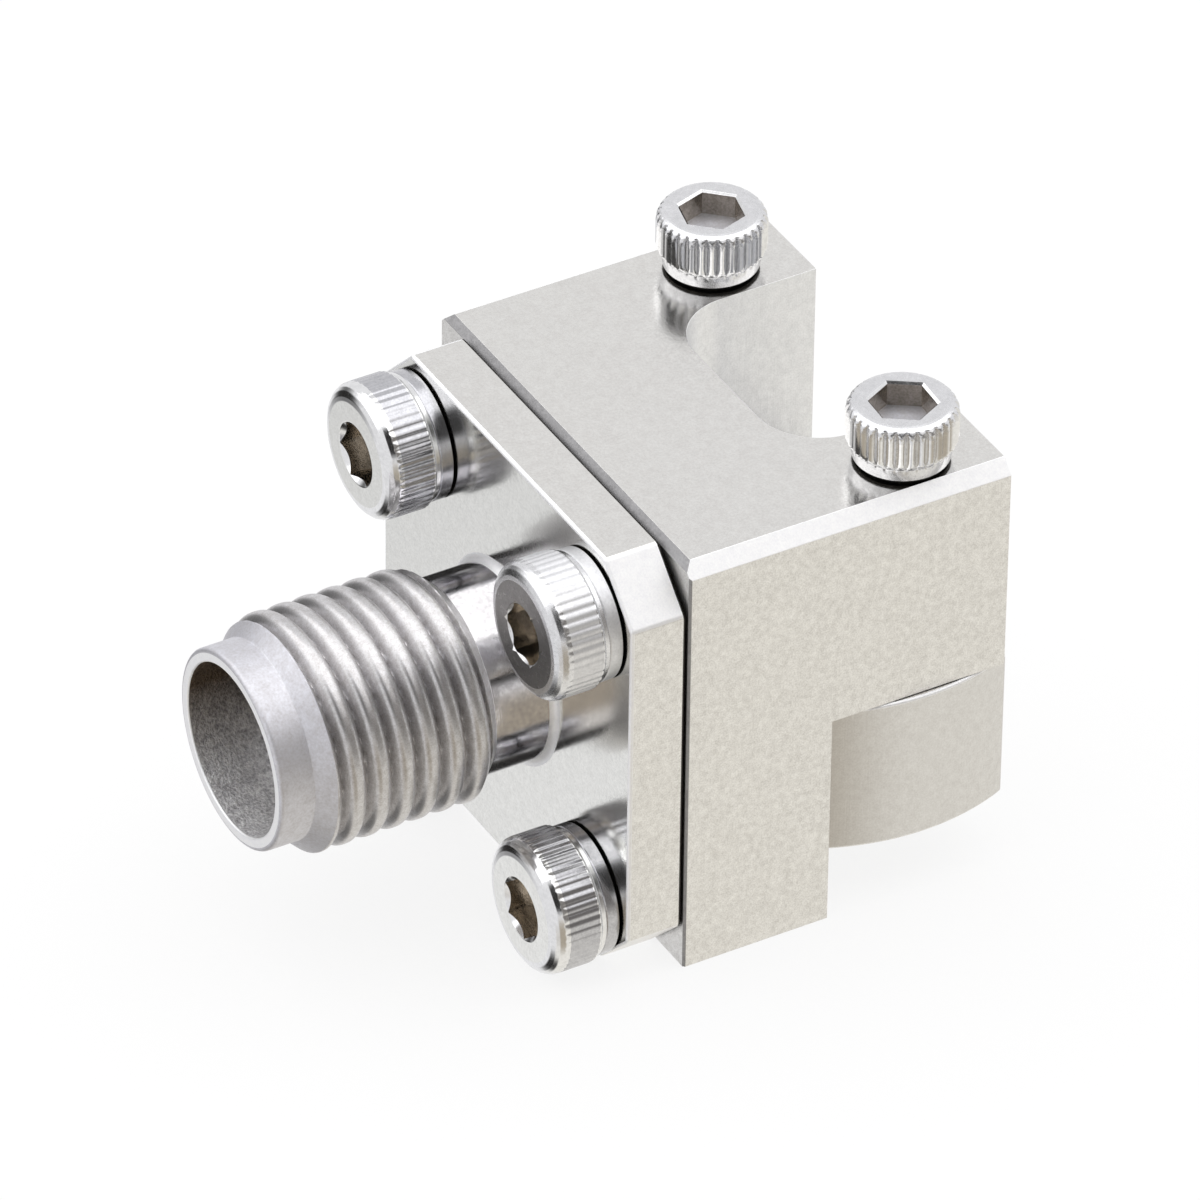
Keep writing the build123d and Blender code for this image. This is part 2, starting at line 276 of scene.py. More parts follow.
# %% Finishes of the screws and washers
finish.update({
    # Rims and shanks are polished: small sharp glints.
    "polished": bare_metal(
        "polished_stainless_steel", "#ececed", "#dededf", 0.16, 0.1, 0.0006, ("along", 0.04, 0.0004)
    ),
    # The rolled flutes of the bright screws have a darker mirror between their crests.
    "bright_fluted": bare_metal(
        "bright_rolled_flutes_of_stainless_steel", "#c8c8cc", "#b4b4b8", 0.22, 0.06, 0.001
    ),
    # Barrelled rims are satin: wide soft glints without a clear edge.
    "screw": bare_metal("barrelled_stainless_steel", "#e6e6e8", "#d2d2d4", 0.26, 0.06, 0.002),
    # The rolled flutes of the satin screw are pale and matt.
    "fluted": bare_metal("rolled_flutes_of_stainless_steel", "#e6e6e8", "#d6d6d8", 0.5, 0.06, 0.002),
    # Its face was left as the lathe faced it: a darker flat grey ring round the socket.
    "faced": bare_metal("faced_stainless_steel", "#989695", "#82807f", 0.3, 0.06, 0.002),
    # The clamp screws' socket walls are brownish and darker, yet still reflect each other.
    "broached": bare_metal("broached_stainless_steel", "#bdb6ad", "#8f887e", 0.16, 0.06, 0.002),
    # The walls and the floor of the flange screws' sockets are warmer and a little darker.
    "socket": bare_metal("warm_socket_of_stainless_steel", "#e4dfd8", "#b2aba1", 0.14, 0.06, 0.002),
})
print("finishes", sorted(finish))

# %% [markdown]
# ## A lathe
#
# Most of this connector was turned: the barrel, the screws, the washers and the contact.
# Blender's Screw modifier could spin an outline, but its threads don't run out into a chamfer.
# So the main tool here is a lathe made of Geometry Nodes. It takes the outline of a piece, as
# points with a radius and a height, and a grid whose columns go round the axis and whose rows
# follow the outline. Two rules bend the grid: one cuts grooves, and one makes a hexagon.
# The tree's inputs are what changes from piece to piece.

# %% The lathe's inputs
lathe = bpy.data.node_groups.new("Lathe with grooves", "GeometryNodeTree")
lathe.is_modifier = True
lathe_inputs = {
    "Outline": "NodeSocketGeometry",
    "Columns": "NodeSocketInt",
    "Grooves round": "NodeSocketFloat",
    "Grooves along": "NodeSocketFloat",
    "Groove shift": "NodeSocketFloat",
    "Crest radius": "NodeSocketFloat",
    "Groove depth": "NodeSocketFloat",
    "Groove narrowness": "NodeSocketFloat",
    "Finish": "NodeSocketMaterial",
}
for label, kind in lathe_inputs.items():
    lathe.interface.new_socket(label, in_out="INPUT", socket_type=kind)
lathe.interface.new_socket("Piece", in_out="OUTPUT", socket_type="NodeSocketGeometry")
given = add(lathe, "NodeGroupInput").outputs
print("lathe inputs", list(lathe_inputs))

# %% [markdown]
# The grid has one column more than the piece, so that its first and last columns meet and the
# seam can be closed. A point's number tells its row and its column, and the column gives the
# angle round the axis. Each row then reads what the outline holds there.

# %% A grid, and where each of its points belongs
points = add(lathe, "GeometryNodeAttributeDomainSize", {"component": "MESH"}, {"Geometry": given["Outline"]})
stride = add(lathe, "ShaderNodeMath", {"operation": "ADD"}, {0: given["Columns"], 1: 1.0})
grid_size = {"Vertices X": points.outputs["Point Count"], "Vertices Y": stride}
grid = add(lathe, "GeometryNodeMeshGrid", {}, grid_size)
index = add(lathe, "GeometryNodeInputIndex")
rows_done = add(lathe, "ShaderNodeMath", {"operation": "DIVIDE"}, {0: index, 1: stride})
row = add(lathe, "ShaderNodeMath", {"operation": "FLOOR"}, {0: rows_done})
column = add(lathe, "ShaderNodeMath", {"operation": "MODULO"}, {0: index, 1: stride})
share_round = add(lathe, "ShaderNodeMath", {"operation": "DIVIDE"}, {0: column, 1: given["Columns"]})
angle_round = add(lathe, "ShaderNodeMath", {"operation": "MULTIPLY"}, {0: share_round, 1: math.tau})


def read(name, kind, at):
    """What the outline holds at a row."""
    if name == "position":
        value = add(lathe, "GeometryNodeInputPosition")
    else:
        value = add(lathe, "GeometryNodeInputNamedAttribute", {"data_type": kind}, {"Name": name})
    wanted = {"Geometry": given["Outline"], "Value": value, "Index": at}
    options = {"data_type": kind, "domain": "POINT"}
    return add(lathe, "GeometryNodeSampleIndex", options, wanted).outputs["Value"]


on_outline = add(lathe, "ShaderNodeSeparateXYZ", {}, {0: read("position", "FLOAT_VECTOR", row)})
row_radius, row_height = on_outline.outputs["X"], on_outline.outputs["Z"]
print("lathe nodes for the grid", len(lathe.nodes))

# %% [markdown]
# Where an outline point asks for a hexagon, the round row becomes one, for the key's socket.
# A hexagon is further from the axis than its inner circle by one over the cosine of the angle
# to the nearest flat's middle. The extra radius can also lift the point. That makes the
# scalloped edge where a socket's conical mouth meets its walls.

# %% The hexagon
sixth = add(lathe, "ShaderNodeMath", {"operation": "MODULO"}, {0: angle_round, 1: math.pi / 3})
off_flat = add(lathe, "ShaderNodeMath", {"operation": "SUBTRACT"}, {0: sixth, 1: math.pi / 6})
cosine = add(lathe, "ShaderNodeMath", {"operation": "COSINE"}, {0: off_flat})
to_side = add(lathe, "ShaderNodeMath", {"operation": "DIVIDE"}, {0: 1.0, 1: cosine})
beyond = add(lathe, "ShaderNodeMath", {"operation": "SUBTRACT"}, {0: to_side, 1: 1.0})
asked_for = {0: beyond, 1: read("hexagon", "FLOAT", row)}
hexed = add(lathe, "ShaderNodeMath", {"operation": "MULTIPLY"}, asked_for)
extra = add(lathe, "ShaderNodeMath", {"operation": "MULTIPLY"}, {0: hexed, 1: row_radius})
wide = add(lathe, "ShaderNodeMath", {"operation": "ADD"}, {0: row_radius, 1: extra})
raised = {0: extra, 1: read("lift", "FLOAT", row), 2: row_height}
lifted = add(lathe, "ShaderNodeMath", {"operation": "MULTIPLY_ADD"}, raised)
print("lathe nodes with the hexagon", len(lathe.nodes))

# %% [markdown]
# Where a point asks for grooves, the radius is held under a grooved crest. With grooves that
# climb one pitch a turn that is a screw thread, and with straight grooves it is the fluting of
# a screw head. Because the groove only cuts what stands proud of it, it runs out by itself
# into a chamfer, as a cutter's does. The absolute value of a sine gives round crests and
# sharp roots, and its narrowness makes the groove a wide hollow or a narrow nick.

# %% The grooves
going_round = {0: share_round, 1: given["Grooves round"], 2: given["Groove shift"]}
round_part = add(lathe, "ShaderNodeMath", {"operation": "MULTIPLY_ADD"}, going_round)
climbing = {0: row_height, 1: given["Grooves along"], 2: round_part}
phase = add(lathe, "ShaderNodeMath", {"operation": "MULTIPLY_ADD"}, climbing)
wave_angle = add(lathe, "ShaderNodeMath", {"operation": "MULTIPLY"}, {0: phase, 1: math.pi})
wave = add(lathe, "ShaderNodeMath", {"operation": "SINE"}, {0: wave_angle})
crest = add(lathe, "ShaderNodeMath", {"operation": "ABSOLUTE"}, {0: wave})
hollow = add(lathe, "ShaderNodeMath", {"operation": "SUBTRACT"}, {0: 1.0, 1: crest})
shaped = add(lathe, "ShaderNodeMath", {"operation": "POWER"}, {0: hollow, 1: given["Groove narrowness"]})
here_only = {0: given["Groove depth"], 1: read("groove", "FLOAT", row)}
groove_depth = add(lathe, "ShaderNodeMath", {"operation": "MULTIPLY"}, here_only)
groove = add(lathe, "ShaderNodeMath", {"operation": "MULTIPLY"}, {0: shaped, 1: groove_depth})
limit = add(lathe, "ShaderNodeMath", {"operation": "SUBTRACT"}, {0: given["Crest radius"], 1: groove})
held = add(lathe, "ShaderNodeMath", {"operation": "MINIMUM"}, {0: wide, 1: limit})
asked = add(lathe, "ShaderNodeMath", {"operation": "GREATER_THAN"}, {0: groove_depth, 1: 0.0})
final = add(lathe, "ShaderNodeMix", {"data_type": "FLOAT"}, {"Factor": asked, 2: wide, 3: held})
print("lathe nodes with the grooves", len(lathe.nodes))

# %% [markdown]
# Last, radius and angle place the grid's points. Each point keeps how far along the outline
# it lies, for the tool marks, and each face the number of its finish. Merging closes the seam
# and the poles. The tree ends in Realize Instances and Set Material, so that what comes out
# is plain mesh with a material.

# %% The bent grid and what it keeps
across = add(lathe, "ShaderNodeMath", {"operation": "COSINE"}, {0: angle_round})
upwards = add(lathe, "ShaderNodeMath", {"operation": "SINE"}, {0: angle_round})
x_part = add(lathe, "ShaderNodeMath", {"operation": "MULTIPLY"}, {0: final, 1: across})
y_part = add(lathe, "ShaderNodeMath", {"operation": "MULTIPLY"}, {0: final, 1: upwards})
spot = add(lathe, "ShaderNodeCombineXYZ", {}, {0: x_part, 1: y_part, 2: lifted})
bent = add(lathe, "GeometryNodeSetPosition", {}, {"Geometry": grid, "Position": spot})

kept = {"Geometry": bent, "Name": "along", "Value": read("along", "FLOAT", row)}
by_point = {"data_type": "FLOAT", "domain": "POINT"}
measured = add(lathe, "GeometryNodeStoreNamedAttribute", by_point, kept)
face_rows = add(lathe, "ShaderNodeMath", {"operation": "DIVIDE"}, {0: index, 1: given["Columns"]})
face_row = add(lathe, "ShaderNodeMath", {"operation": "FLOOR"}, {0: face_rows})
kept = {"Geometry": measured, "Name": "finish", "Value": read("finish", "INT", face_row)}
by_face = {"data_type": "INT", "domain": "FACE"}
marked = add(lathe, "GeometryNodeStoreNamedAttribute", by_face, kept)
same_spot = 1e-7
closed = add(lathe, "GeometryNodeMergeByDistance", {}, {"Geometry": marked, "Distance": same_spot})
real = add(lathe, "GeometryNodeRealizeInstances", {}, {"Geometry": closed})
dressed = add(lathe, "GeometryNodeSetMaterial", {}, {"Geometry": real, "Material": given["Finish"]})
add(lathe, "NodeGroupOutput", {}, {0: dressed})
print("lathe nodes", len(lathe.nodes))

# %% [markdown]
# The lathe needs its outline as points. A drawing gives only the corners, each with the radius
# that the tool leaves there. The next helper rounds each corner with a small arc, because a real
# edge is never sharp and it is the small arc that catches the light. It puts a point just
# before and after each arc, so that smooth shading doesn't smear over the flat beside it.

# %% From corners to an outline
arc_step = 18
guard = 0.01


def corner(radius, height, rounding=0.0, finish=None, groove=0.0, hexagon=0.0, lift=0.0):
    """One corner of an outline. Its finish and grooves hold up to the next corner."""
    shape = {"radius": radius, "height": height, "rounding": rounding}
    return {**shape, "finish": finish, "groove": groove, "hexagon": hexagon, "lift": lift}


def gap(here, after):
    """How far apart two outline points are, in mm."""
    return math.hypot(after["radius"] - here["radius"], after["height"] - here["height"])


def arc_rows(before, here, after):
    """The points of a rounded corner, with a guard point on each side."""
    spot, before_spot, after_spot = (Vector((c["radius"], c["height"])) for c in (here, before, after))
    first, second = (before_spot - spot).normalized(), (after_spot - spot).normalized()
    inside = first.angle(second)
    reach = here["rounding"] / math.tan(inside / 2)
    middle = spot + (first + second).normalized() * here["rounding"] / math.sin(inside / 2)
    steps = max(2, round(math.degrees(math.pi - inside) / arc_step))
    start = spot + first * reach - middle
    turn = start.angle_signed(spot + second * reach - middle)
    arc = [middle + Matrix.Rotation(-turn * k / steps, 2) @ start for k in range(steps + 1)]
    guarded = [spot + first * (reach + guard)] + arc + [spot + second * (reach + guard)]
    rows = [{**here, "radius": at.x, "height": at.y} for at in guarded]
    rows[0]["finish"] = before["finish"]
    rows[0]["groove"] = max(before["groove"], here["groove"])
    return rows


print("a square corner is rounded in", 90 // arc_step, "steps")


# %% Close rows where there are grooves
def rounded(corners, closed=False, step=0.03):
    """Outline points from corners, with arcs at rounded corners and a row every `step` mm in grooves."""
    count = len(corners)
    rows = []
    for i, here in enumerate(corners):
        before = corners[i - 1] if i or closed else None
        after = corners[(i + 1) % count] if i + 1 < count or closed else None
        if here["rounding"] and before and after:
            rows += arc_rows(before, here, after)
        else:
            rows.append({**here})
    if closed:
        rows.append({**rows[0]})
    full = []
    for here, after in zip(rows, rows[1:]):
        full.append(here)
        parts = math.ceil(gap(here, after) / step) if here["groove"] else 1
        for k in range(1, parts):
            between = {
                key: here[key] + (after[key] - here[key]) * (k / parts)
                for key in ("radius", "height", "hexagon", "lift")
            }
            full.append({**here, **between})
    return full + [rows[-1]]


sample = rounded([corner(0, 0), corner(1, 0, 0.2), corner(1, 1)])
print("an L with one rounded corner has", len(sample), "points")


# %% [markdown]
# The next helper puts the outline on the lathe and takes the piece off as a plain mesh. The
# outline travels as a mesh of points with attributes, since that is how Geometry Nodes
# read lists. The modifier's inputs are set by their identifiers before anything is evaluated.


# %% A plain mesh, and an outline as one
def plain(holder):
    """The evaluated object as a plain mesh. The object itself goes."""
    graph = bpy.context.evaluated_depsgraph_get()
    evaluated = holder.evaluated_get(graph)
    mesh = bpy.data.meshes.new_from_object(evaluated, preserve_all_data_layers=True, depsgraph=graph)
    bpy.data.objects.remove(holder)
    return mesh


def outline_mesh(rows, numbers):
    """The outline as a line of points that hold what each row asks for."""
    outline = bpy.data.meshes.new("outline")
    spots = [(row["radius"] * MM, 0, row["height"] * MM) for row in rows]
    outline.from_pydata(spots, [(i, i + 1) for i in range(len(rows) - 1)], [])
    travelled = [0.0]
    for here, after in zip(rows, rows[1:]):
        travelled.append(travelled[-1] + gap(here, after) * MM)
    asked = {name: [row[name] for row in rows] for name in ("groove", "hexagon", "lift")}
    for name, held in {**asked, "along": travelled}.items():
        outline.attributes.new(name, "FLOAT", "POINT").data.foreach_set("value", held)
    outline.attributes.new("finish", "INT", "POINT").data.foreach_set("value", numbers)
    return outline


print("outline points carry", ["groove", "hexagon", "lift", "along", "finish"])


# %% Turn a piece
def give_finishes(mesh, wanted):
    """Give each face the finish that `wanted` names for it."""
    names = sorted(set(wanted))
    mesh.materials.clear()
    for name in names:
        mesh.materials.append(finish[name])
    mesh.polygons.foreach_set("material_index", [names.index(name) for name in wanted])


def turned(
    corners, columns, metal, closed=False, step=0.03, place=Matrix(),
    grooves_round=0.0, grooves_along=0.0, shift=0.0, crest=0.0, depth=0.0, narrowness=1.0,
):
    """A plain mesh from the lathe. Sizes are in mm, and place moves it from the lathe's Z axis."""
    rows = rounded(corners, closed, step)
    row_finishes = [row["finish"] or metal for row in rows]
    names = sorted(set(row_finishes))
    outline = outline_mesh(rows, [names.index(name) for name in row_finishes])
    holder = bpy.data.objects.new("lathe", outline)
    bpy.context.scene.collection.objects.link(holder)
    modifier = holder.modifiers.new("lathe", "NODES")
    modifier.node_group = lathe
    values = {
        "Columns": columns,
        "Grooves round": float(grooves_round),
        "Grooves along": float(grooves_along) / MM,
        "Groove shift": float(shift),
        "Crest radius": crest * MM,
        "Groove depth": depth * MM,
        "Groove narrowness": narrowness,
        "Finish": finish[metal],
    }
    for socket in lathe.interface.items_tree:
        if socket.name in values:
            modifier[socket.identifier] = values[socket.name]
    mesh = plain(holder)
    mesh.transform(place)
    numbers = [0] * len(mesh.polygons)
    mesh.attributes["finish"].data.foreach_get("value", numbers)
    give_finishes(mesh, [names[number] for number in numbers])
    return mesh


along_y = Matrix.Rotation(-math.pi / 2, 4, "X")
print("the lathe's own axis, laid along the coupling's:", [round(c) for c in along_y @ Vector((0, 0, 1))])


# %% [markdown]
# A piece may be made of several closed meshes that touch, as the shell is. They are joined as
# one object. Turned meshes are shaded smooth up to a crease angle that is wider than a step of
# an arc and narrower than any real edge.

# %% One object from its meshes
crease = math.radians(38)


def finished(name, meshes):
    """One object from its meshes. Those without hardened normals are smoothed up to the crease angle."""
    objects = []
    for mesh in meshes:
        if not mesh.has_custom_normals:
            shape = bmesh.new()
            shape.from_mesh(mesh)
            bmesh.ops.recalc_face_normals(shape, faces=shape.faces)
            shape.to_mesh(mesh)
            shape.free()
            mesh.shade_smooth()
            mesh.set_sharp_from_angle(angle=crease)
        piece = bpy.data.objects.new(name, mesh)
        bpy.context.scene.collection.objects.link(piece)
        objects.append(piece)
    if len(objects) > 1:
        with bpy.context.temp_override(active_object=objects[0], selected_editable_objects=objects):
            bpy.ops.object.join()
    piece = objects[0]
    piece.name = name
    print(name, "faces", len(piece.data.polygons), "finishes", [m.name for m in piece.data.materials])
    return piece


# %% [markdown]
# ## Prisms
#
# The flange, the block and the clamp were milled from bar. Each is a flat outline pushed along
# one axis, less its holes. The holes could be modelled by hand, with faces laid round them, but
# Blender's Boolean modifier cuts them as a drill does and keeps the sizes exact.


# %% Outlines and prisms
hole_steps = 48


def circle(x, y, radius, steps=hole_steps):
    """Points of a circle."""
    angles = [math.tau * k / steps for k in range(steps)]
    return [(x + radius * math.cos(angle), y + radius * math.sin(angle)) for angle in angles]


def prism(outline, low, high, along="Z"):
    """A closed mesh from a flat outline in mm, pushed from low to high along X, Y or Z."""
    shape = bmesh.new()
    face = shape.faces.new([shape.verts.new((a * MM, b * MM, low * MM)) for a, b in outline])
    pushed = bmesh.ops.extrude_face_region(shape, geom=[face])["geom"]
    moved = [part for part in pushed if isinstance(part, bmesh.types.BMVert)]
    bmesh.ops.translate(shape, verts=moved, vec=(0, 0, (high - low) * MM))
    turns = {
        "X": Matrix(((0, 0, 1, 0), (1, 0, 0, 0), (0, 1, 0, 0), (0, 0, 0, 1))),
        "Y": Matrix(((1, 0, 0, 0), (0, 0, 1, 0), (0, 1, 0, 0), (0, 0, 0, 1))),
        "Z": Matrix(),
    }
    bmesh.ops.transform(shape, matrix=turns[along], verts=shape.verts)
    bmesh.ops.recalc_face_normals(shape, faces=shape.faces)
    mesh = bpy.data.meshes.new("prism")
    shape.to_mesh(mesh)
    shape.free()
    return mesh


print("a hole has", hole_steps, "steps, one every", 360 / hole_steps, "degrees")

# %% Cuts
# A cutting prism starts and ends 1 mm outside the piece, so that no two faces coincide.
past = 1


def combined(mesh, others, operation):
    """Mesh with others cut away, or what it shares with them."""
    body = bpy.data.objects.new("body", mesh)
    bpy.context.scene.collection.objects.link(body)
    tools = []
    for other in others:
        tool = bpy.data.objects.new("tool", other)
        bpy.context.scene.collection.objects.link(tool)
        tools.append(tool)
        cut = body.modifiers.new("cut", "BOOLEAN")
        cut.operation, cut.solver, cut.object = operation, "EXACT", tool
    result = plain(body)
    for tool in tools:
        bpy.data.objects.remove(tool)
    return result


print("cutters reach", past, "mm past the piece")

# %% [markdown]
# A milled edge is broken by hand or by tumbling, and its narrow facet draws a thin bright line
# round each face. The Bevel modifier does that, with hardened normals so that the flats stay
# flat. The faces then get their finishes by where they point and where they lie, as the machinist
# chose them, with a painted highlight on some broken edges and painted shade in the joints.

# %% Broken edges, and finishes by face
sharp_angle = math.radians(25)
# How much of a face's normal lies along an axis: it looks straight along it, mostly, or less.
straight, mostly, slanted, tilted = 0.99, 0.9, 0.2, 0.1


def sharp_edges(mesh):
    """Numbers of the edges between faces that meet at more than the sharp angle."""
    shape = bmesh.new()
    shape.from_mesh(mesh)
    found = {e.index for e in shape.edges if len(e.link_faces) == 2 and e.calc_face_angle() > sharp_angle}
    shape.free()
    return found


def softened(mesh, width, segments, chosen=None):
    """Mesh with its edges broken by a bevel, `width` in mm: all sharp ones, or those that `chosen` takes."""
    mesh.shade_smooth()
    mesh.set_sharp_from_angle(angle=sharp_angle)
    body = bpy.data.objects.new("body", mesh)
    bpy.context.scene.collection.objects.link(body)
    bevel = body.modifiers.new("edge", "BEVEL")
    bevel.width, bevel.segments, bevel.harden_normals = width * MM, segments, True
    bevel.limit_method, bevel.angle_limit = "ANGLE", sharp_angle
    if chosen:
        sharp = sharp_edges(mesh)
        ends = [[mesh.vertices[number].co for number in edge.vertices] for edge in mesh.edges]
        middles = [(start + end) / 2 / MM for start, end in ends]
        taken = [1.0 if i in sharp and chosen(middle) else 0.0 for i, middle in enumerate(middles)]
        mesh.attributes.new("bevel_weight_edge", "FLOAT", "EDGE").data.foreach_set("value", taken)
        bevel.limit_method = "WEIGHT"
    return plain(body)


def paint(mesh, choose):
    """Give each face the finish that `choose` names from its normal and its middle in mm."""
    give_finishes(mesh, [choose(face.normal, face.center / MM) for face in mesh.polygons])


print("edges are sharp above", round(math.degrees(sharp_angle)), "degrees")

# %% [markdown]
# ## Connector shell
#
# The shell is one piece of bar: a threaded barrel, a plain neck and a square flange. The
# barrel comes from the lathe. Its outline is a closed loop, out along the bore, over the rim
# and back over the sleeve, the thread and the neck to the flange. The thread is 36 turns
# to the inch. On paper such a thread has flat crests, but in the photo they look round, so
# the grooves are cut a little deep and wide to leave round ridges.

# %% Barrel with its helical thread
thread_diameter, thread_end, thread_pitch, thread_depth = 6.25, 6.15, 25.4 / 36, 0.36
sleeve_diameter, sleeve_length, neck_diameter, neck_fillet = 5.35, 0.95, 5.26, 0.2
mating_bore_diameter, mating_bore_depth, line_diameter = 4.62, 1.98, 2.92
bead_pocket_diameter, bead_front = 3.8, 4.2
fillet_facet, barrel_columns, rows_per_turn, thread_narrowness = neck_fillet - 0.015, 192, 30, 1.5

thread_r, sleeve_r, neck_r = thread_diameter / 2, sleeve_diameter / 2, neck_diameter / 2
bore_r, line_r, pocket_r = mating_bore_diameter / 2, line_diameter / 2, bead_pocket_diameter / 2
root_r = neck_r + neck_fillet
barrel_outline = [
    corner(pocket_r, flange_rear, finish="bored"),
    corner(pocket_r, bead_front, finish="bored"),
    corner(line_r, bead_front, finish="bored"),
    corner(line_r, mating_bore_depth, 0.03, "bored"),
    corner(bore_r, mating_bore_depth, 0.08, "bored"),
    # Painted highlight: the bore's rim, the neck's fillet and the ring at the flange take the near white
    # tone.
    corner(bore_r, 0.0, 0.05, "milled"),
    corner(sleeve_r, 0.0, 0.12, "sleeve"),
    corner(sleeve_r, sleeve_length, 0.03, "sleeve", groove=1.0),
    corner(thread_r, sleeve_length + thread_r - sleeve_r, 0.06, "turned", groove=1.0),
    corner(thread_r, thread_end - (thread_r - neck_r), 0.04, "turned", groove=1.0),
    corner(neck_r, thread_end, 0.03, "neck"),
    corner(neck_r, barrel_length, fillet_facet, "milled"),
    corner(root_r, barrel_length, finish="milled"),
    corner(root_r, flange_rear, finish="neck"),
]
barrel_mesh = turned(
    barrel_outline, barrel_columns, "turned", closed=True, step=thread_pitch / rows_per_turn, place=along_y,
    grooves_round=-1, grooves_along=1 / thread_pitch, shift=-sleeve_length / thread_pitch,
    crest=thread_r, depth=thread_depth, narrowness=thread_narrowness,
)
print("thread pitch", round(thread_pitch, 4), "mm, barrel faces", len(barrel_mesh.polygons))

# %% [markdown]
# The flange is a square plate with cut corners and four screw holes. Its front was lapped,
# its sides blasted and its corners deburred, with a painted highlight. A low round seat behind
# it rests on the block, so that a thin black line shows between the two. The seat and the
# flange's rear are in shadow and are painted dark as shade.

# %% The flange's outline and holes
flange_corner, seat_diameter, screw_clearance = 1.4, 8.6, 0.05
flange_screw_spacing, flange_screw_diameter = 8.64, 2.0
half_spacing = flange_screw_spacing / 2
screw_spots = [(x * half_spacing, z * half_spacing) for x, z in ((-1, 1), (1, 1), (-1, -1), (1, -1))]
right_edge, left_edge = half_width - flange_corner, -half_width + flange_corner
low_edge, high_edge = -body_bottom + flange_corner, body_top - flange_corner
flange_outline = [
    (left_edge, -body_bottom), (right_edge, -body_bottom), (half_width, low_edge), (half_width, high_edge),
    (right_edge, body_top), (left_edge, body_top), (-half_width, high_edge), (-half_width, low_edge),
]
hole_r = flange_screw_diameter / 2 + screw_clearance
hole_outlines = [circle(x, z, hole_r) for x, z in screw_spots] + [circle(0, 0, root_r, barrel_columns)]
flange_holes = [prism(hole, barrel_length - past, flange_rear + past, "Y") for hole in hole_outlines]
flange_mesh = combined(prism(flange_outline, barrel_length, flange_rear, "Y"), flange_holes, "DIFFERENCE")
print("flange holes", len(flange_holes))


# %% The flange's edges and finishes
rim_bevel, rim_from, cut_corner_from = 0.09, 6.1, 11


def on_rim(middle):
    """Whether an edge lies on the flange's outer rim and not on a hole."""
    x, z = abs(middle.x), abs(middle.z)
    return max(x, z) > rim_from or x + z > cut_corner_from


def flange_finish(normal, middle):
    """Which finish a face of the flange has."""
    # Painted shade: the faces towards the block are dark.
    if normal.y > tilted:
        return "recess"
    if normal.y < -straight:
        return "lapped"
    # Painted highlight: the cut corners and the front's broken edge take the near white tone.
    if (abs(normal.x) > slanted and abs(normal.z) > slanted) or abs(normal.y) > tilted:
        return "milled"
    return "ground" if normal.z > mostly else "blasted"


flange_mesh = softened(flange_mesh, rim_bevel, 3, chosen=on_rim)
paint(flange_mesh, flange_finish)
seat_r = seat_diameter / 2
seat_corners = (pocket_r, flange_rear), (seat_r, flange_rear), (seat_r, block_front), (pocket_r, block_front)
seat_outline = [corner(radius, height) for radius, height in seat_corners]
# Painted shade: the seat between the flange and the block is dark.
seat_mesh = turned(seat_outline, 96, "recess", closed=True, place=along_y)
shell = finished("connector_shell_turned", [barrel_mesh, flange_mesh, seat_mesh])

# %% [markdown]
# ## Housing block
#
# The block is a leg behind the flange and a jaw over the board, with a window round the
# launch pin. It was milled all over, its top was ground, and its sides were blasted. A block
# like this is drawn in three views, so it is made from three outlines: what the prisms of the
# side, the front and the plan have in common is the block.

# %% The block's three outlines
block_top_chamfer, block_edge, front_chamfer = 0.37, 0.2, 0.06
slot_width, slot_corner, corner_steps = 6.6, 1.72, 24
beyond_side, beyond_rear = half_width + past, block_rear + past
top_edge, top_corner = body_top - block_top_chamfer, half_width - block_top_chamfer


def plan_outline():
    """The block from above: chamfered front corners and a window with two rounded inner corners."""
    half, front_corner = slot_width / 2, half_width - front_chamfer
    past_chamfer = block_front + front_chamfer + past
    points = [(-front_corner, block_front), (front_corner, block_front), (beyond_side, past_chamfer)]
    points += [(beyond_side, beyond_rear), (half, beyond_rear)]
    middle_y = slot_front + slot_corner
    for middle_x, start in ((half - slot_corner, 0), (-half + slot_corner, 270)):
        angles = [math.radians(start - 90 * k / corner_steps) for k in range(corner_steps + 1)]
        points += [
            (middle_x + slot_corner * math.cos(angle), middle_y + slot_corner * math.sin(angle))
            for angle in angles
        ]
    return points + [(-half, beyond_rear), (-beyond_side, beyond_rear), (-beyond_side, past_chamfer)]


side_outline = [
    (block_front, -body_bottom), (leg_rear, -body_bottom), (leg_rear, board_plane),
    (block_rear, board_plane), (block_rear, body_top),
    (block_front + block_edge, body_top), (block_front, body_top - block_edge),
]
front_outline = [
    (-half_width, -body_bottom), (half_width, -body_bottom), (half_width, top_edge),
    (top_corner, body_top), (-top_corner, body_top), (-half_width, top_edge),
]
print("points in plan", len(plan_outline()), "side", len(side_outline), "front", len(front_outline))

# %% [markdown]
# The block's holes take the clamp screws, the seal and the launch pin. The clamp screws
# pass down through the jaw on both sides of the window, and the pin leaves through the
# window's front wall. The holes are cut after the outlines meet, so that each stays round.

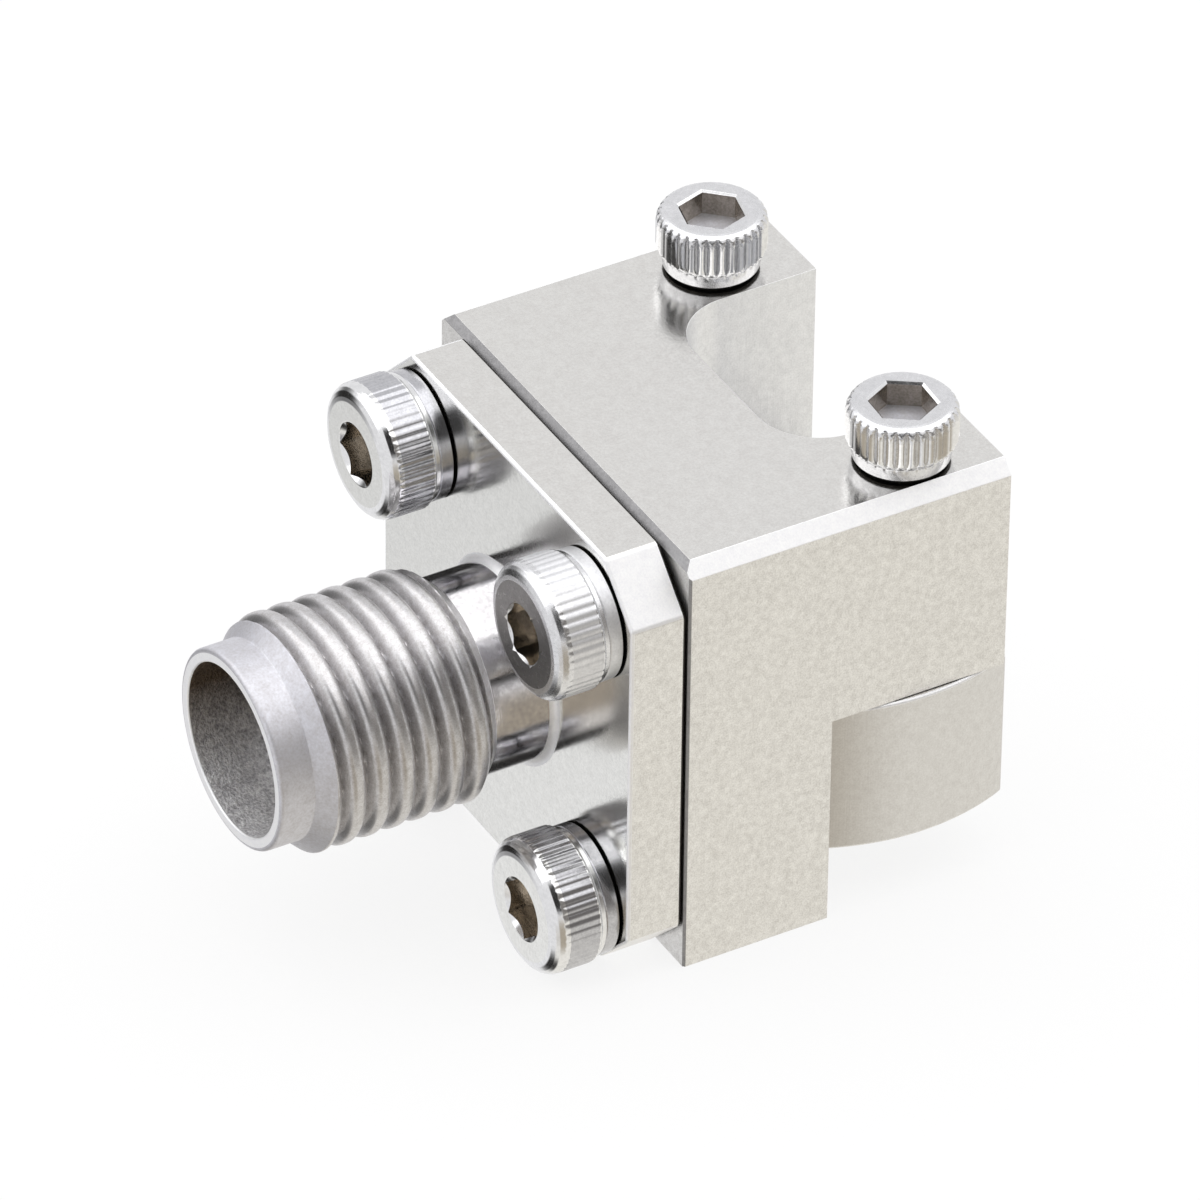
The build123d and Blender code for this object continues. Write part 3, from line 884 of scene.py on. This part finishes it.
# %% The block and its holes
launch_bore_diameter, seal_diameter, seal_length, block_bevel = 1.34, 3.5, 1.5, 0.03
clamp_screw_spots = (-clamp_screw_spacing / 2, clamp_screw_spacing / 2)
screw_hole_r = clamp_screw_diameter / 2 + screw_clearance
from_side = prism(side_outline, -beyond_side, beyond_side, "X")
from_front = prism(front_outline, block_front - past, beyond_rear, "Y")
from_above = prism(plan_outline(), -body_bottom - past, body_top + past)
block_mesh = combined(from_side, [from_front, from_above], "INTERSECT")
screw_holes = [circle(x, clamp_screw_y, screw_hole_r) for x in clamp_screw_spots]
block_cuts = [prism(hole, -past, body_top + past) for hole in screw_holes]
block_cuts += [
    prism(circle(0, 0, launch_bore_diameter / 2), block_front - past, slot_front + 0.3, "Y"),
    prism(circle(0, 0, seal_diameter / 2), block_front - past, block_front + seal_length, "Y"),
]
block_mesh = softened(combined(block_mesh, block_cuts, "DIFFERENCE"), block_bevel, 2)


def block_finish(normal, middle):
    """Which finish a face of the block has."""
    if normal.z > straight and middle.z > body_top - 0.1:
        return "ground"
    # Painted shade: the front chamfers beside the flange are grey.
    if -mostly < normal.y < -slanted and middle.y < block_front + block_edge:
        return "edge"
    # Painted highlight: the top's chamfers take the near white tone.
    if abs(normal.x) > slanted and normal.z > slanted:
        return "milled"
    in_window = abs(middle.x) < slot_width / 2 + 0.02 and middle.y > slot_front - 0.02
    return "wall" if in_window and middle.z > board_plane + 0.05 else "blasted"


paint(block_mesh, block_finish)
block = finished("housing_block_milled", [block_mesh])

# %% [markdown]
# ## Clamp
#
# The lower clamp was turned as a disc and milled flat at the front and the rear, so its wall
# is a cylinder. The two screws pull it up against the board. One prism of the disc's outline
# with both flats in it does the same as turning and milling. Its top was ground, its top edge
# tumbled and given a painted highlight, and its wall kept the lathe's sheen.

# %% Clamp
clamp_radius, clamp_thickness, clamp_overhang = 6.5, 4.37, 0.28
clamp_leg_clearance, clamp_board_clearance, tapped_clearance = 0.05, 0.02, 0.02
clamp_steps, clamp_bevel, wall_from = 40, 0.08, 5
tap_from, tap_to = -8, 2


def clamp_outline():
    """A disc with a flat in front and a flat behind, seen from above."""
    front, rear = leg_rear + clamp_leg_clearance, block_rear + clamp_overhang
    low = math.asin((front - clamp_screw_y) / clamp_radius)
    high = math.asin((rear - clamp_screw_y) / clamp_radius)
    angles = [low + (high - low) * k / clamp_steps for k in range(clamp_steps + 1)]
    half = [(clamp_radius * math.cos(a), clamp_screw_y + clamp_radius * math.sin(a)) for a in angles]
    return half + [(-x, y) for x, y in reversed(half)]


def clamp_finish(normal, middle):
    """Which finish a face of the clamp has."""
    if abs(normal.z) < slanted and abs(middle.x) > wall_from:
        return "clamp"
    if normal.z > straight:
        return "ground"
    # Painted highlight: the upward broken edge takes the near white tone.
    return "milled" if normal.z > tilted else "blasted"


clamp_top = board_plane - clamp_board_clearance
tapped_r = clamp_screw_diameter / 2 + tapped_clearance
clamp_cuts = [prism(circle(x, clamp_screw_y, tapped_r), tap_from, tap_to) for x in clamp_screw_spots]
clamp_mesh = prism(clamp_outline(), clamp_top - clamp_thickness, clamp_top)
clamp_mesh = softened(combined(clamp_mesh, clamp_cuts, "DIFFERENCE"), clamp_bevel, 3)
paint(clamp_mesh, clamp_finish)
clamp = finished("clamp_jaw_milled", [clamp_mesh])

# %% [markdown]
# ## Socket head screws
#
# Both kinds of screw have fluted heads and hex sockets. The outline starts at the bottom of
# the socket and climbs its wall, then goes through the mouth, over the rim and down the fluted
# side. The shank's thread is made by the lathe too, with grooves that climb.

# %% Hex socket and threaded shank
hex_across_flats, clamp_hex_depth, flange_hex_depth = 1.5, 0.7, 0.95
flat_r = hex_across_flats / 2


def hex_socket(top, depth, floor_metal, wall_metal):
    """The hex socket, from its conical floor to half way up its walls."""
    return [
        corner(0, top - depth - 0.08, finish=floor_metal),
        corner(flat_r * 0.5, top - depth - 0.02, finish=floor_metal, hexagon=0.3),
        corner(flat_r, top - depth, finish=wall_metal, hexagon=1.0),
        corner(flat_r, top - depth / 2, finish=wall_metal, hexagon=1.0),
    ]


def shank(diameter, length, pitch, place):
    """The screw's threaded shank, from under the head to its chamfered tip."""
    r, tip, undercut = diameter / 2, diameter / 8, diameter / 2 * 0.86
    corners = [
        corner(0, 0.3),
        corner(undercut, 0.3),
        corner(undercut, 0),
        corner(r, -0.25, groove=1.0),
        corner(r, tip - length, groove=1.0),
        corner(r - tip, -length),
        corner(0, -length),
    ]
    return turned(
        corners, 36, "polished", step=pitch / 8, place=place,
        grooves_round=-1, grooves_along=1 / pitch, crest=r, depth=pitch * 0.6,
    )


across_corners = round(hex_across_flats / math.cos(math.pi / 6), 2)
print("socket", hex_across_flats, "mm across flats and", across_corners, "mm across corners")

# %% [markdown]
# The clamp screws stand upright on the jaw. Their rims have a wide bevel and their heads 32
# bold flutes, over a narrower base with a shadow gap under it, painted dark as shade. Each is
# turned about its own axis to the angle that its socket has in the photo.

# %% Clamp screws
clamp_head_diameter, clamp_head_height, clamp_head_base = 2.88, 1.72, 2.56
clamp_head_seat, clamp_head_lift, clamp_screw_length = 2.2, 0.06, 10.0
clamp_mouth, clamp_rim_land, clamp_screw_pitch = 0.06, 0.22, 0.35
clamp_flutes, clamp_flute_depth = 32, 0.15


def clamp_screw(name, x, turn):
    """Bevelled rim, bold flutes, a narrower plain base and a shadow gap under it, painted dark as shade."""
    r, base, seat = clamp_head_diameter / 2, clamp_head_base / 2, clamp_head_seat / 2
    top, lift = clamp_head_height, clamp_head_lift
    corners = hex_socket(top, clamp_hex_depth, "sleeve", "broached") + [
        corner(flat_r, top - clamp_mouth, finish="polished", hexagon=1.0),
        corner(flat_r + clamp_mouth, top, finish="screw", hexagon=1.0),
        corner(flat_r + clamp_rim_land, top, finish="screw"),
        corner(r, top, 0.33, "screw", groove=1.0),
        corner(r, top - 0.35, finish="polished", groove=1.0),
        corner(r, 0.68, 0.12, "polished", groove=1.0),
        corner(base + 0.04, 0.5, 0.06, "screw", groove=1.0),
        # Painted shade: the foot of the base and the gap under it are dark.
        corner(base - 0.03, lift + 0.07, 0.03, "recess"),
        corner(base - 0.08, lift, finish="recess"),
        corner(seat, lift, finish="recess"),
        corner(seat, 0, finish="recess"),
        corner(0, 0, finish="recess"),
    ]
    stand = Matrix.Translation(Vector((x, clamp_screw_y, body_top)) * MM)
    place = stand @ Matrix.Rotation(math.radians(turn), 4, "Z")
    head = turned(
        corners, 192, "screw", place=place,
        grooves_round=clamp_flutes, crest=r, depth=clamp_flute_depth, narrowness=0.8,
    )
    thread = shank(clamp_screw_diameter, clamp_screw_length, clamp_screw_pitch, place)
    return finished(name, [head, thread])


left_x, right_x = clamp_screw_spots
clamp_screws = {
    "clamp_screw_left": clamp_screw("clamp_screw_fluted_left", left_x, -13),
    "clamp_screw_right": clamp_screw("clamp_screw_fluted_right", right_x, -4),
}

# %% [markdown]
# The flange screws lie along the coupling's axis, each on a washer. Their rims are rounded,
# and their 48 flutes are so shallow that they show as fine lines. Three are bright. The upper
# right one is satin, with a darker face and a narrower mouth, as in the photo. The lower left
# one is hidden there and is made like its neighbours.

# %% Flange screws
flange_head_diameter, flange_head_height, flange_head_base = 3.66, 1.5, 3.46
flange_screw_length, flange_screw_pitch, washer_thickness = 5.0, 0.4, 0.43
flange_flutes, flange_flute_depth, flute_bite = 48, 0.025, 0.003
towards_front = Matrix.Rotation(math.pi / 2, 4, "X")


def flange_screw(name, x, z, turn, metals, mouth):
    """Rounded rim, fine shallow flutes and a plain base on the washer."""
    rim, flutes, face = metals
    r, base, top = flange_head_diameter / 2, flange_head_base / 2, flange_head_height
    corners = hex_socket(top, flange_hex_depth, "socket", "socket") + [
        corner(flat_r, top - mouth, finish=rim, hexagon=1.0, lift=1.0),
        corner(flat_r + mouth, top, 0.02, face),
        corner(r, top, 0.42, rim, groove=1.0),
        corner(r, top - 0.43, finish=flutes, groove=1.0),
        corner(r, 0.2, 0.05, rim, groove=1.0),
        corner(base + 0.02, 0.12, 0.02, rim),
        corner(base, 0, finish=rim),
        corner(0, 0, finish=rim),
    ]
    stand = Matrix.Translation(Vector((x, barrel_length - washer_thickness, z)) * MM)
    place = stand @ (towards_front @ Matrix.Rotation(math.radians(turn), 4, "Z"))
    head = turned(
        corners, 288, rim, place=place,
        grooves_round=flange_flutes, crest=r - flute_bite, depth=flange_flute_depth, narrowness=0.9,
    )
    thread = shank(flange_screw_diameter, flange_screw_length, flange_screw_pitch, place)
    return finished(name, [head, thread])


# The metals of a head's rim, its flutes and its face.
bright, satin = ("polished", "bright_fluted", "lapped"), ("screw", "fluted", "faced")
# Where each screw is, how far it is turned, its metals and the width of its socket's mouth.
flange_rows = {
    "upper_left": (screw_spots[0], 10, bright, 0.12),
    "upper_right": (screw_spots[1], 0, satin, 0.07),
    "lower_left": (screw_spots[2], 25, bright, 0.12),
    "lower_right": (screw_spots[3], 40, bright, 0.12),
}
flange_screws = {
    f"flange_screw_{where}": flange_screw(f"flange_screw_fluted_{where}", x, z, turn, metals, mouth)
    for where, ((x, z), turn, metals, mouth) in flange_rows.items()
}

# %% [markdown]
# ## Washers
#
# A plain ring lies under each flange screw, in the metal of that screw's flutes. Its rear is
# stepped in a little and painted dark as shade: the thin black line between ring and flange.

# %% Washers
washer_diameter, washer_hole, washer_seat, washer_seat_height = 3.46, 2.2, 3.1, 0.09


def washer(name, x, z, metal):
    """A plain ring with rounded edges and a stepped rear in painted shade."""
    start, end = barrel_length - washer_thickness, barrel_length
    step_in = end - washer_seat_height / 2
    corners = [
        corner(washer_hole / 2, start, 0.03),
        corner(washer_diameter / 2, start, 0.06),
        # Painted shade: the rear step is dark.
        corner(washer_diameter / 2, step_in, 0.02, "recess"),
        corner(washer_seat / 2, step_in, finish="recess"),
        corner(washer_seat / 2, end, finish="recess"),
        corner(washer_hole / 2, end),
    ]
    place = Matrix.Translation(Vector((x, 0, z)) * MM) @ along_y
    return finished(name, [turned(corners, 144, metal, closed=True, place=place)])


washers = {
    f"flange_washer_{where}": washer(f"flange_washer_ring_{where}", x, z, metals[1])
    for where, ((x, z), _, metals, _) in flange_rows.items()
}

# %% [markdown]
# ## Contact and launch pin
#
# The contact is turned from beryllium copper, slotted so that its socket springs, and plated
# with gold. The pin that leaves the block is plated too. Both come off the lathe, and their
# slots and the pin's flat are cut with prisms, as a saw and a mill would.

# %% Gold plating
# Gold over a matt base looks deep yellow, with soft highlights that the turning marks draw out.
finish["gold"] = bare_metal(
    "gold_plated_beryllium_copper", "#e8c268", "#d3a548", 0.24, 0.05, 0.002, ("along", 0.03, 0.001)
)
# The seal's ring has a thinner plating over a nickel alloy: paler and duller.
finish["pale_gold"] = bare_metal("gold_plated_seal_ring", "#dcb865", "#c89d4c", 0.34, 0.05, 0.002)
print("gold finishes", finish["gold"].name, finish["pale_gold"].name)

# %% Contact with its spring slots
contact_diameter, contact_setback, contact_end, contact_waist = 1.27, 0.05, 9.0, 0.9
socket_diameter, socket_depth, contact_slot, slot_depth = 0.94, 1.9, 0.14, 1.7
bead_thickness = 1.2
contact_front = mating_bore_depth + contact_setback
bead_rear = bead_front + bead_thickness
contact_r, waist_r, inner_r = contact_diameter / 2, contact_waist / 2, socket_diameter / 2
contact_outline = [
    corner(0, contact_front + socket_depth),
    corner(inner_r, contact_front + socket_depth - 0.15),
    corner(inner_r, contact_front, 0.05),
    corner(contact_r, contact_front, 0.08),
    corner(contact_r, bead_front, 0.02),
    corner(waist_r, bead_front),
    corner(waist_r, bead_rear),
    corner(contact_r, bead_rear, 0.02),
    corner(contact_r, contact_end, 0.04),
    corner(0, contact_end),
]
contact_mesh = turned(contact_outline, 72, "gold", place=along_y)
half_slot = contact_slot / 2
saws = [
    prism([(-x, -z), (x, -z), (x, z), (-x, z)], contact_front - past, contact_front + slot_depth, "Y")
    for x, z in ((half_slot, 1), (1, half_slot))
]
contact_mesh = combined(contact_mesh, saws, "DIFFERENCE")
give_finishes(contact_mesh, ["gold"] * len(contact_mesh.polygons))
contact = finished("centre_contact_slotted", [contact_mesh])

# %% Launch pin with its half-round tab
pin_diameter, pin_entry, pin_overhang = 0.4, 1.3, 1.1
pin_r, pin_start, pin_end = pin_diameter / 2, contact_end - pin_entry, leg_rear + pin_overhang
pin_outline = [
    corner(0, pin_start),
    corner(pin_r, pin_start),
    corner(pin_r, pin_end, 0.03),
    corner(0, pin_end),
]
pin_mesh = turned(pin_outline, 48, "gold", place=along_y)
tab_cut = prism([(-1, leg_rear), (1, leg_rear), (1, leg_rear + 3), (-1, leg_rear + 3)], -2, board_plane)
pin_mesh = combined(pin_mesh, [tab_cut], "DIFFERENCE")
give_finishes(pin_mesh, ["gold"] * len(pin_mesh.polygons))
pin = finished("launch_pin_tab", [pin_mesh])

# %% [markdown]
# ## Pieces that keep their CAD shape
#
# The bead, its retainer, the seal and the sleeve are plain rings deep inside. Nothing would be
# gained by making them again, so they keep the CAD's shape and take a material. The plastics
# and the glass share one function: a faint cloud in the colour, and a slight unevenness.


# %% Plastics and glass
def filled_plastic(name, light, dark, roughness, grain, ior):
    """Moulded or machined dielectric with a faint cloud in its colour."""
    material = bpy.data.materials.new(name)
    material.use_nodes = True
    tree = material.node_tree
    shader = tree.nodes["Principled BSDF"]
    shader.inputs["IOR"].default_value = ior
    place = add(tree, "ShaderNodeTexCoord").outputs["Object"]
    cloud = add(tree, "ShaderNodeTexNoise", {}, {"Vector": place, "Scale": 1 / (grain * MM), "Detail": 3.0})
    tones = {"Factor": cloud, 6: linear(dark), 7: linear(light)}
    colour = add(tree, "ShaderNodeMix", {"data_type": "RGBA"}, tones)
    tree.links.new(colour.outputs[2], shader.inputs["Base Color"])
    ends = {"To Min": roughness - 0.05, "To Max": roughness + 0.05}
    rough = add(tree, "ShaderNodeMapRange", {}, {"Value": cloud, **ends})
    tree.links.new(rough.outputs[0], shader.inputs["Roughness"])
    uneven = {"Strength": 0.6, "Distance": 0.004 * MM, "Height": cloud}
    tree.links.new(add(tree, "ShaderNodeBump", {}, uneven).outputs[0], shader.inputs["Normal"])
    return material


inner = {
    # A moulded amber plastic: warm, half dark and a little glossy.
    "support_bead": filled_plastic("polyetherimide_bead", "#b5702a", "#8f5018", 0.35, 0.3, 1.66),
    # A plain turned bush, like the thread's steel.
    "bead_retainer": finish["turned"],
    "seal_ring": finish["pale_gold"],
    # Glass that is fused round the pin: dark grey-green with a clear gloss.
    "seal_glass": filled_plastic("sealing_glass", "#39434a", "#232c33", 0.12, 0.4, 1.52),
    # A machined fluoropolymer: milky white and waxy.
    "launch_sleeve": filled_plastic("fluoropolymer_sleeve", "#f0efe9", "#e4e2da", 0.45, 0.2, 1.35),
}
for name, material in inner.items():
    nodes[name].data.materials.clear()
    nodes[name].data.materials.append(material)
print("inner pieces", sorted(inner))

# %% [markdown]
# ## Riding on the bodies
#
# Each new piece stands for its CAD node and rides on that node's body. Only the clamp moves:
# slackening its two screws lets it slide down.

# %% Ride and replace
stands_for = {
    "connector_shell": (shell, "shell_steel"),
    "housing_block": (block, "block_steel"),
    "clamp_jaw": (clamp, "block_steel"),
    "centre_contact": (contact, "contact_gold"),
    "launch_pin": (pin, "contact_gold"),
}
screw_pieces = {**clamp_screws, **flange_screws, **washers}
stands_for.update({node: (piece, "screw_steel") for node, piece in screw_pieces.items()})
for node, (piece, slot) in stands_for.items():
    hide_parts(node)
    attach(piece, "clamp" if node == "clamp_jaw" else "connector")
print("pieces that stand for nodes", len(stands_for))

# %% [markdown]
# ## Floor
#
# The photo shows the connector on white, with hardly a shadow. The floor is a sheet of white
# paper. It glows a little to the camera, so that it stays white without more light on the
# steel, and keeps a faint shadow. Reflections look through it into the room, because a
# mirrored floor would hide the dark places that make steel look like steel.

# %% Floor
floor_half, floor_glow, just_below = 1.5, 0.85, 0.00001
floor_mesh = bpy.data.meshes.new("floor")
floor_corners = [(x * floor_half, y * floor_half, 0) for x, y in ((-1, -1), (1, -1), (1, 1), (-1, 1))]
floor_mesh.from_pydata(floor_corners, [], [(0, 1, 2, 3)])
floor_mesh.transform(Matrix.Translation((0, 0, -body_bottom * MM - just_below)))
floor = bpy.data.objects.new("floor", floor_mesh)
bpy.context.scene.collection.objects.link(floor)

paper = bpy.data.materials.new("white_paper")
paper.use_nodes = True
tree = paper.node_tree
tree.nodes.clear()
rays = add(tree, "ShaderNodeLightPath").outputs
eyes = {0: rays["Is Camera Ray"], 1: rays["Is Transmission Ray"]}
seen = add(tree, "ShaderNodeMath", {"operation": "MAXIMUM"}, eyes)
sheet = add(tree, "ShaderNodeBsdfDiffuse", {}, {"Color": linear("#f2f2f2")})
glow = add(tree, "ShaderNodeEmission", {}, {"Color": linear("#ffffff"), "Strength": 1.0})
white = add(tree, "ShaderNodeMixShader", {}, {0: floor_glow, 1: sheet, 2: glow})
plain_paper = add(tree, "ShaderNodeMixShader", {}, {0: seen, 1: sheet, 2: white})
clear = add(tree, "ShaderNodeBsdfTransparent")
mixed = add(tree, "ShaderNodeMixShader", {}, {0: rays["Is Glossy Ray"], 1: plain_paper, 2: clear})
add(tree, "ShaderNodeOutputMaterial", {}, {0: mixed})
floor_mesh.materials.append(paper)
print("floor", 2 * floor_half, "m wide")

# %% [markdown]
# ## Room
#
# The photo is lit from all sides on white, so the steel mirrors a nearly white room. Polished
# steel only looks like steel if there is something dark in that room too. A studio hangs grey
# and black cards for that. Real cards could be modelled as planes, but they would cast
# shadows. So each card here is a soft round patch of the world, given by its direction.
# The world is plain white to the camera.

# %% Room
world = bpy.data.worlds.new("white_room")
bpy.context.scene.world = world
world.use_nodes = True
tree = world.node_tree
tree.nodes.clear()
direction = add(tree, "ShaderNodeTexCoord").outputs["Generated"]


def patch(towards, inner_angle, outer_angle):
    """1 within inner_angle degrees of a direction, 0 beyond outer_angle."""
    facing = {0: direction, 1: Vector(towards).normalized()}
    near = add(tree, "ShaderNodeVectorMath", {"operation": "DOT_PRODUCT"}, facing)
    outer, inner = (math.cos(math.radians(angle)) for angle in (outer_angle, inner_angle))
    span = {"Value": near.outputs["Value"], "From Min": outer, "From Max": inner}
    return add(tree, "ShaderNodeMapRange", {"interpolation_type": "SMOOTHSTEP"}, span)


# Each card in the room: where it stands, its inner and outer angle, its colour and how much it covers.
cards = [
    # A warm white table on the right, below: the right sides mirror it.
    ((0.6, 0.25, -0.75), 35, 80, "#faf7ef", 1.0),
    # A brown card low on the right, in front: it tints rounded rims and the clamp's wall.
    ((0.8, -0.42, -0.42), 8, 36, "#a2957f", 0.8),
    # The dark side round the lens: what faces the camera mirrors it.
    (back, 18, 28, "#2b2a29", 1.0),
    # A grey card at the rear right: the dark band along the neck and the flange screws' heads.
    ((0.832, 0.401, 0.383), 14, 44, "#85817d", 1.0),
    # Two dark cards in front, at the left and below: they draw dark arcs on rims and flutes.
    ((-0.88, -0.42, -0.2), 10, 28, "#2b2a29", 1.0),
    ((-0.2, -0.4, -0.89), 8, 24, "#2b2a29", 1.0),
]
room = linear("#f6f6f7")
for towards, inner_angle, outer_angle, colour, cover in cards:
    shade = {0: patch(towards, inner_angle, outer_angle), 1: cover}
    share = add(tree, "ShaderNodeMath", {"operation": "MULTIPLY"}, shade)
    tones = {"Factor": share, 6: room, 7: linear(colour)}
    room = add(tree, "ShaderNodeMix", {"data_type": "RGBA"}, tones).outputs[2]
camera_ray = add(tree, "ShaderNodeLightPath").outputs["Is Camera Ray"]
to_camera = {"Factor": camera_ray, 6: room, 7: linear("#ffffff")}
plain_room = add(tree, "ShaderNodeMix", {"data_type": "RGBA"}, to_camera).outputs[2]
sky = add(tree, "ShaderNodeBackground", {}, {"Color": plain_room, "Strength": 1.0})
add(tree, "ShaderNodeOutputWorld", {}, {0: sky})
print("cards in the room", len(cards))

# %% [markdown]
# ## Lamps
#
# The room alone would light the steel evenly and flatly. Two soft square lamps above, one
# from the front left and one from behind, brighten the upward faces and leave the faint
# shadow. They are a little wider than they are far away, so that no glint has a hard edge.

# %% Lamps
lamp_distance, lamp_size = 0.25, 0.3
connector_middle = Vector((0, 0.009, 0))


def lamp(name, towards, power):
    """A soft square lamp that faces the connector."""
    data = bpy.data.lights.new(name, "AREA")
    data.shape, data.size, data.energy = "SQUARE", lamp_size, power
    holder = bpy.data.objects.new(name, data)
    bpy.context.scene.collection.objects.link(holder)
    towards = Vector(towards).normalized()
    stand = Matrix.Translation(connector_middle + towards * lamp_distance)
    holder.matrix_world = stand @ towards.to_track_quat("Z", "Y").to_matrix().to_4x4()
    print(name, power, "W from", [round(c, 2) for c in towards])


lamp("key_lamp", (-0.35, -0.55, 0.9), 0.25)
lamp("top_lamp", (0.2, 0.4, 0.87), 0.27)

# %% [markdown]
# ## Colours as written
#
# The Standard view shows each colour as its material gives it.

# %% Colours as written
bpy.context.scene.view_settings.view_transform = "Standard"
